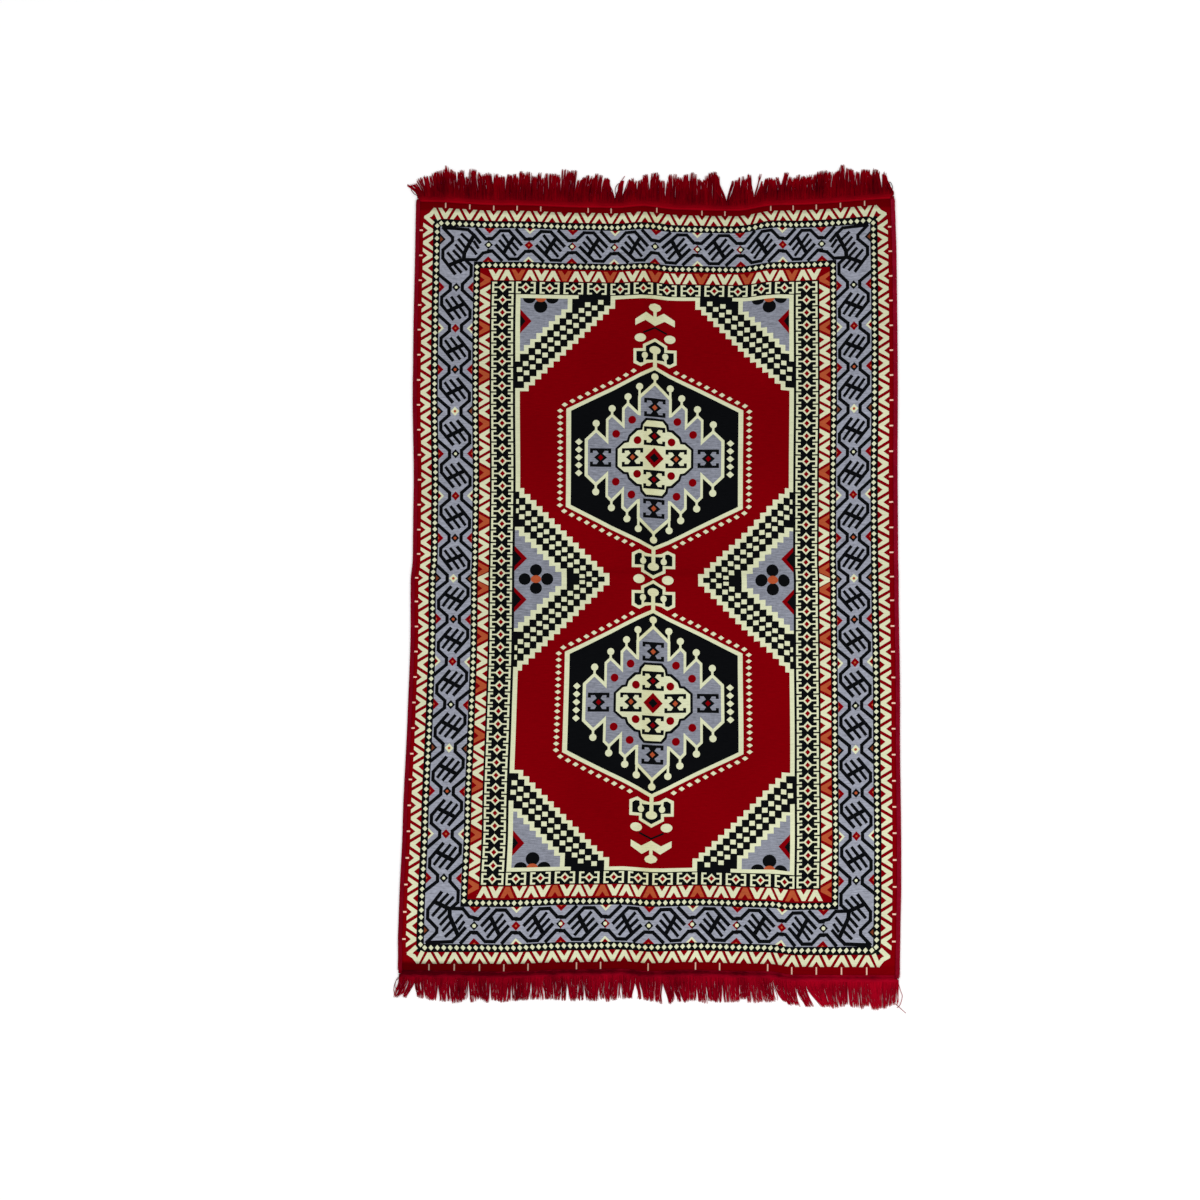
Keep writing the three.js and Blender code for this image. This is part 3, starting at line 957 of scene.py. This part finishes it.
def yarnMaterial(name, dark, bright, useTone, streak):
    material, tree, shader = startMaterial(name, 0.9)
    place = addNode(tree, "ShaderNodeTexCoord", output="Object")
    parts = addNode(tree, "ShaderNodeSeparateXYZ", None, [place])
    patches = noise(tree, place, dye["patchScale"])
    fibres = noise(tree, combine(tree, parts * streak[0], parts.other("Y") * streak[1],
                                 parts.other("Z") * dye["fibresUp"]), 1.0, 3.0)
    tone = (patches - 0.5) * dye["patchShade"] + (fibres - 0.5) * dye["fibreShade"]
    if useTone:
        tone = tone + addNode(tree, "ShaderNodeAttribute", {"attribute_name": "tone"}, output="Fac")
    else:
        tone = tone + 0.5
    colour = mixColour(tree, tone.atLeast(0).atMost(1), linear(*dark), linear(*bright))
    endMaterial(tree, shader, colour, fibres, dye["bump"])
    return material


stitchNodes = stitchTree()
yarnNodes = yarnTree()

# Side bindings: a folded tape with round corners, narrow at its tips, overcast with thick yarn
binding = dict(height=0.0056, overhang=0.001, rows=150, tipLength=0.012, tipNarrow=0.0025, tipFlat=60,
               corner=[(0.002, 0), (0.0009, 0.0003), (0.0003, 0.0009), (0, 0.002)],
               pitch=0.0026, thickness=0.0013, firstStitch=0.004, lastStitch=0.009)
# The tape is dyed darker than the overcast yarn: painted shade where it shows between the stitches
shadedTapeMaterial = yarnMaterial("binding tape in painted shade", (86, 0, 10), (126, 3, 22), False, (900, 60))
# The overcast yarn has a lit copy for the right binding and a shaded one for the left: painted light and
# painted shade
litAndShadedOvercast = {
    -1: yarnMaterial("overcast yarn in painted shade left", (108, 2, 18), (156, 18, 42), False, (500, 900)),
    1: yarnMaterial("overcast yarn in painted light right", (122, 6, 26), (182, 30, 62), False, (500, 900))}


def makeBinding(name, node, side):
    wide, high, wall = rug["bindingWidth"], binding["height"], rug["bindingWall"]
    slot = wall + rug["gap"]
    section = [(wide, 0), *binding["corner"], *[(inward, high - z) for inward, z in binding["corner"][::-1]],
               (wide, high), (wide, high - wall), (slot, high - wall), (slot, wall), (wide, wall)]
    rows, path = [], []
    end = halfLength + binding["overhang"]
    for k in range(binding["rows"] + 1):
        t = k / binding["rows"]
        y = mix(-end, end, t)
        narrow = binding["tipNarrow"] * smooth((abs(y) - end + binding["tipLength"]) / binding["tipLength"])
        flatter = 1 - binding["tipFlat"] * narrow
        rows.append([(*laid(*settle(side * (halfWidth - narrow - inward), y)), z * flatter)
                     for inward, z in section])
        y = side * mix(binding["firstStitch"] - end, end - binding["lastStitch"], t)
        path.append(((*laid(*settle(side * halfWidth, y)), 0), 1, 0))
    tape = makeBand(name, rows)
    tape.data.materials.append(shadedTapeMaterial)
    turnOutwards(tape)
    stitches = growYarn(name + "_stitches", stitchNodes, [path], {
        "Pitch": binding["pitch"], "Start": (-0.0004, wide - 0.0004, high + 0.0001),
        "Middle": (0, -0.0016, 0.0078), "End": (0.0007, 0.0001, 0.0011), "Thickness": binding["thickness"],
        "Bends": 7, "Uneven": 0.035, "Seed": 4, "Material": litAndShadedOvercast[side]})
    piece = join(tape, stitches)
    finish(piece, node, "side_binding")
    return piece


bindings = [makeBinding("left_binding", "binding_left", -1),
            makeBinding("right_binding", "binding_right", 1)]
print("bindings:", sum(len(piece.data.polygons) for piece in bindings), "faces")

# Fringes, in millimetres: how long the strands are along the end, where they part and how wide, and which
# way they lean. A parting is (place, width at the tips, how far out it begins). The tones along a strand,
# from root to tip, put painted shade at the root, where the strands crowd out of the heading, and grow
# brighter towards the tips.
headFringe = dict(
    strands=1800, thickness=0.00175, tuft=9, pinch=0.95, ragged=6, seed=11,
    litAndShadedTones=[(0, 0.5), (0.14, 0.42), (0.4, 0.42), (0.75, 0.55), (1, 0.9)],
    lengths=[(-580, 44), (-564, 50), (-545, 62), (-500, 78), (-460, 74), (-420, 71), (-380, 75),
             (-340, 75), (-300, 73), (-260, 79), (-220, 74), (-140, 72), (-100, 68), (-60, 64), (-20, 71),
             (20, 75), (60, 76), (100, 79), (140, 78), (180, 67), (220, 76), (260, 62), (300, 64),
             (340, 67), (420, 71), (460, 76), (500, 68), (525, 68), (548, 60), (566, 46), (577, 26)],
    leans=[(-577, -30), (-566, -20), (-550, -8), (-500, -3), (-440, -3), (-300, 0), (-130, 9), (-80, -3),
           (0, 1), (140, 2), (240, 3), (330, 2), (450, 4), (540, -2), (577, -10)],
    partings=[(-395, 10, 0.45), (-232, 4, 0.6), (-171, 4, 0.25), (-104, 34, 0.12), (-86, 12, 0.15),
              (110, 4, 0.25), (172, 34, 0.12), (203, 8, 0.25), (240, 26, 0.12), (303, 14, 0.5),
              (484, 12, 0.55), (-350, 3, 0.25), (-450, 3, 0.5), (-20, 3, 0.5), (40, 3, 0.6), (410, 3, 0.5)],
    paintedLightAndTuftTone=[(-577, 0), (577, 0)],
    strays=[[(-96, 9, 2, 0.4), (-92, 28, 3, 0.4), (-96, 44, 4, 0.5), (-88, 60, 3, 0.6), (-80, 72, 2, 0.8)],
            [(-88, 9, 2, 0.3), (-100, 24, 4, 0.3), (-103, 40, 3, 0.3), (-98, 52, 2, 0.4), (-90, 56, 2, 0.5)],
            [(-565, 9, 2, 0.4), (-576, 18, 4, 0.5), (-588, 30, 3, 0.6), (-600, 38, 2, 0.8)],
            [(-566, 8, 2, 0.3), (-580, 12, 4, 0.3), (-590, 24, 3, 0.4), (-588, 34, 2, 0.5),
             (-580, 36, 2, 0.5)],
            [(566, 8, 3, 0), (572, 20, 6, 0), (566, 34, 5, 0), (560, 24, 4, 0), (566, 14, 5, 0)]],
)
footFringe = dict(
    strands=1640, thickness=0.00138, tuft=14, pinch=0.87, ragged=2.5, seed=23,
    litAndShadedTones=[(0, 0.5), (0.14, 0.52), (0.4, 0.48), (0.75, 0.5), (1, 0.68)],
    lengths=[(-580, 56), (-540, 56), (-500, 64), (-460, 66), (-400, 64), (-300, 64), (-180, 66), (-100, 68),
             (-20, 62), (20, 67), (100, 68), (180, 68), (260, 65), (300, 62), (340, 66), (420, 66),
             (500, 69), (540, 71), (580, 62)],
    leans=[(-577, -9), (-500, 0), (-300, 2), (-60, 2), (20, 6), (100, 3), (220, 4), (290, 16), (370, 24),
           (410, 8), (480, 4), (560, 0), (577, -3)],
    partings=[(-538, 24, 0.2), (-484, 9, 0.25), (-252, 6, 0.25), (-250, 4, 0.5), (-116, 5, 0.25),
              (-64, 8, 0.15), (-30, 16, 0.15), (34, 20, 0.15), (58, 14, 0.35), (132, 3, 0.5),
              (241, 8, 0.25), (292, 10, 0.35), (345, 16, 0.15), (368, 18, 0.15), (-410, 3, 0.4),
              (-160, 3, 0.5), (190, 3, 0.5), (430, 3, 0.4)],
    # Painted light: the foot fringe and its tape grow brighter towards the right
    paintedLightAndTuftTone=[(-577, -0.15), (-200, -0.05), (0, -0.05), (200, 0), (400, 0.2), (577, 0.28)],
    strays=[[(573, 8, 3, 0.6), (579, 28, 4, 0.6), (583, 41, 3, 0.6), (578, 60, 2, 0.6), (571, 67, 2, 0.6)],
            [(566, 56, 3, 0.5), (572, 62, 3, 0.5), (580, 69, 2, 0.5), (591, 79, 2, 0.6)],
            [(-571, 6, 4, 0), (-579, 14, 5, 0), (-583, 30, 4, 0.1), (-577, 40, 3, 0.1), (-571, 28, 4, 0)],
            [(-570, 8, 3, 0.2), (-582, 20, 3, 0.3), (-586, 40, 2, 0.4), (-581, 54, 2, 0.5)],
            [(330, 10, 4, 0.8), (352, 26, 5, 0.8), (384, 31, 5, 0.9), (410, 24, 4, 0.8), (416, 10, 4, 0.8)]],
)
# The heading tape and its seam in metres, but the tape's section in millimetres: its top has how far out,
# how thick, and the tone at the head and at the foot. These tones are painted light and shade: a painted
# highlight on the raised cord at the head, and at the foot a painted shadow line by the seam with a lighter
# band beyond it. The underside's tone is painted shade.
heading = dict(
    rows=180, drop=0.009, dropStart=0.0005, floorGap=0.0004, widen=1.014, underPaintedShade=0.3,
    seamPoints=240, seamShort=0.002, seamIn=0.0006, seamHeight=0.0011, seamPitch=0.0042,
    bottom=(-7, -4, -1, 1, 3, 5, 7, 10),
    top=[(10.3, 0.6, 0.3, 0.35), (9.6, 1.3, 0.35, 0.4), (8.4, 1.7, 0.35, 0.42), (7, 1.4, 0.4, 0.4),
         (5, 1.2, 0.45, 0.36), (3, 1.2, 0.5, 0.25), (1, 1.2, 0.62, 0.12), (-0.6, 1.1, 0.7, 0.05),
         (-2, 1.7, 0.9, 0.05), (-4, 2.1, 0.95, 0.1), (-6, 1.7, 0.6, 0.2), (-7.2, 0.7, 0.2, 0.2)],
)


# A place beyond the cloth's end: x across, out from the end, z over the floor
def beyond(end, x, out, z):
    atX, atY = laid(*settle(x, end * halfLength))
    return (atX, atY + end * out, z)


# Underside of the heading tape, which bends down to the floor beyond the cloth
def tapeHeight(end, x, out):
    onCloth = rise(x, end * halfLength) + rug["thickness"] + rug["gap"]
    return mix(onCloth, heading["floorGap"], smooth((out - heading["dropStart"]) / heading["drop"]))


# Smooths a loose thread's spots (across, out, height, tone)
def smoothThread(spots):
    smoothed = []
    for k in range(len(spots) - 1):
        before, after = spots[max(k - 1, 0)], spots[min(k + 2, len(spots) - 1)]
        here, there = spots[k], spots[k + 1]
        for t in (0, 0.2, 0.4, 0.6, 0.8):
            smoothed.append([0.5 * (2 * b + (c - a) * t + (2 * a - 5 * b + 4 * c - d) * t * t
                                    + (3 * b - a - 3 * c + d) * t ** 3)
                             for a, b, c, d in zip(before, here, there, after)])
    return smoothed + [list(spots[-1])]


# How a strand lies, in millimetres: where it starts, how unevenly it is cut, how far it and its tuft stray
# to the side, how it waves, how far from a parting the strands give way, and how high it lies
strand = dict(root=7.5, joints=8, closeness=1.25, cut=3.5, tuftSize=(0.5, 1.6), tuftStray=2.4, tuftTone=0.1,
              shorter=0.16, stray=1.2, gather=(0.7, 1.15), wave=1.5, waves=6, tone=0.12, giving=26,
              opened=1.05, height=0.8, lift=(0.4, 2.8), settling=0.4, tip=0.45)


def makeTufts(fringe, width, dice):
    tufts, at = [], -width
    while at < width:
        size = fringe["tuft"] * dice.uniform(*strand["tuftSize"]) / 1000
        tufts.append((at, at + size, dice.gauss(0, fringe["ragged"]), dice.gauss(0, strand["tuftStray"]),
                      dice.uniform(-strand["tuftTone"], strand["tuftTone"])))
        at += size
    return tufts


def makeStrand(end, fringe, root, tuft, dice):
    near, far, longer, stray, paintedLightAndTuftTone = tuft
    middle = (near + far) / 2
    place = root * 1000
    loose = 1 - fringe["pinch"]
    length = readTable(fringe["lengths"], place) + longer - abs(dice.gauss(0, strand["cut"]))
    fromMiddle = abs(root - middle) / (far - near) * 2
    length = length * (1 - strand["shorter"] * fromMiddle * loose) / 1000
    shift = readTable(fringe["leans"], place) + stray + dice.gauss(0, strand["stray"])
    shift = shift / 1000 + (middle - root) * loose * dice.uniform(*strand["gather"])
    wave, turn, lift = dice.gauss(0, strand["wave"]) / 1000, dice.uniform(0, 6.3), dice.random()
    # The tone adds painted light across the end, the tuft's own tone and the strand's own
    tone = readTable(fringe["paintedLightAndTuftTone"], place) + dice.gauss(0, strand["tone"]) + paintedLightAndTuftTone
    path = []
    for k in range(strand["joints"] + 1):
        t = (k / strand["joints"]) ** strand["closeness"]
        out = mix(strand["root"] / 1000, length, t)
        bend = t * t * (1.6 - 0.6 * t)
        x = root + shift * bend + wave * math.sin(turn + strand["waves"] * t) * t
        for parting, wide, start in fringe["partings"]:
            push = math.exp(-abs(place - parting) / strand["giving"])
            push *= smooth((t - start) / (strand["opened"] - start))
            x += (push if place > parting else -push) * wide / 2000
        high = strand["height"] + lift * mix(*strand["lift"], smooth(3 * t)) * (1 - strand["settling"] * t)
        thick = 1.0 if k < strand["joints"] else strand["tip"]
        path.append((beyond(end, x, out, tapeHeight(end, root, out) + high / 1000), thick,
                     tone + readTable(fringe["litAndShadedTones"], t)))
    return path


def makeStrands(end, fringe):
    dice = random.Random(fringe["seed"])
    width = headingEdge * heading["widen"]
    count = fringe["strands"]
    roots = [mix(-width, width, (k + dice.random()) / count) for k in range(count)]
    tufts = makeTufts(fringe, width, dice)
    paths = []
    for root in roots:
        tuft = next((tuft for tuft in tufts if tuft[0] <= root < tuft[1]), tufts[-1])
        paths.append(makeStrand(end, fringe, root, tuft, dice))
    for spots in fringe["strays"]:
        paths.append([(beyond(end, x / 1000, out / 1000, z / 1000), 1.0, tone)
                      for x, out, z, tone in smoothThread(spots)])
    return paths


# The tape runs out over the ends of the bindings once it is past the cloth
def makeHeading(name, end, fringe):
    rows, litAndShadedTones = [], []
    for k in range(heading["rows"] + 1):
        x = mix(-headingEdge, headingEdge, k / heading["rows"])
        # Painted light across the end, from the fringe's table
        light = readTable(fringe["paintedLightAndTuftTone"], x * 1000)

        def spot(out, thick=0.0):
            wide = x * mix(1, heading["widen"], smooth((out - 1) / 2))
            return beyond(end, wide, out / 1000, tapeHeight(end, x, out / 1000) + thick / 1000)

        bottom, top = heading["bottom"], heading["top"]
        rows.append([spot(out) for out in bottom] + [spot(out, thick) for out, thick, _, _ in top])
        # Painted shade under the tape, and painted light and shade across its top
        litAndShadedTones += [heading["underPaintedShade"]] * len(bottom)
        litAndShadedTones += [light + (litAndShadedAtHead if end > 0 else litAndShadedAtFoot) for _, _, litAndShadedAtHead, litAndShadedAtFoot in top]
    tape = makeBand(name, rows)
    turnOutwards(tape)
    tape.data.attributes.new("tone", "FLOAT", "POINT")
    tape.data.attributes["tone"].data.foreach_set("value", litAndShadedTones)
    return tape


def makeFringe(name, node, end, fringe, materials):
    tape = makeHeading(name, end, fringe)
    tape.data.materials.append(materials[0])
    strands = growYarn(name + "_strands", yarnNodes, makeStrands(end, fringe), {
        "Thickness": fringe["thickness"], "Sides": 4, "Material": materials[1]})
    seam, seamEdge, out = [], headingEdge - heading["seamShort"], -heading["seamIn"]
    for k in range(heading["seamPoints"]):
        x = mix(-seamEdge, seamEdge, k / (heading["seamPoints"] - 1)) * end
        seam.append((beyond(end, x, out, tapeHeight(end, x, out) + heading["seamHeight"]), 1, 0))
    stitches = growYarn(name + "_seam", stitchNodes, [seam], {
        "Pitch": heading["seamPitch"], "Start": (-0.0016, 0, -0.0002), "Middle": (0, 0, 0.0009),
        "End": (0.0016, 0, -0.0002), "Thickness": 0.0006, "Bends": 4, "Uneven": 0.08, "Seed": 9,
        "Material": materials[2]})
    piece = join(tape, strands, stitches)
    finish(piece, node, "fringe_yarn")
    return piece


headStrand = yarnMaterial("head fringe yarn", (52, 0, 8), (140, 0, 14), True, (700, 90))
footStrand = yarnMaterial("foot fringe yarn", (70, 0, 8), (172, 4, 32), True, (700, 90))
headTape = yarnMaterial("head tape", (78, 0, 8), (140, 2, 16), True, (90, 900))
footTape = yarnMaterial("foot tape", (62, 0, 8), (170, 6, 34), True, (90, 900))
seamYarn = yarnMaterial("seam thread", (80, 0, 8), (118, 2, 16), False, (600, 600))
fringes = [makeFringe("head_fringe", "fringe_head", 1, headFringe, (headTape, headStrand, seamYarn)),
           makeFringe("foot_fringe", "fringe_foot", -1, footFringe, (footTape, footStrand, seamYarn))]
print("fringes:", sum(len(piece.data.polygons) for piece in fringes), "faces")

bindings + fringes

# Floor and light
lighting = dict(floor=0.98, sky=0.94, size=3, power=45, place=(1.4, -1.6, 3.8))
floorMaterial = bpy.data.materials.new("pale floor")
floorMaterial.use_nodes = True
floorShader = floorMaterial.node_tree.nodes["Principled BSDF"]
floorShader.inputs["Base Color"].default_value = (lighting["floor"],) * 3 + (1,)
floorShader.inputs["Roughness"].default_value = 0.9
floor = makeObject("floor", [(-8, -8, 0), (8, -8, 0), (8, 8, 0), (-8, 8, 0)], [(0, 1, 2, 3)])
floor.data.materials.append(floorMaterial)
floor.location.z = -0.0005

world = bpy.data.worlds.new("soft light")
world.use_nodes = True
world.node_tree.nodes["Background"].inputs["Color"].default_value = (1, 1, 1, 1)
world.node_tree.nodes["Background"].inputs["Strength"].default_value = lighting["sky"]
scene.world = world

lamp = bpy.data.lights.new("window", "AREA")
lamp.shape = "DISK"
lamp.size = lighting["size"]
lamp.energy = lighting["power"]
lampObject = bpy.data.objects.new("window", lamp)
lampObject.location = lighting["place"]
lampObject.rotation_euler = (-Vector(lighting["place"])).to_track_quat("-Z", "Y").to_euler()
scene.collection.objects.link(lampObject)
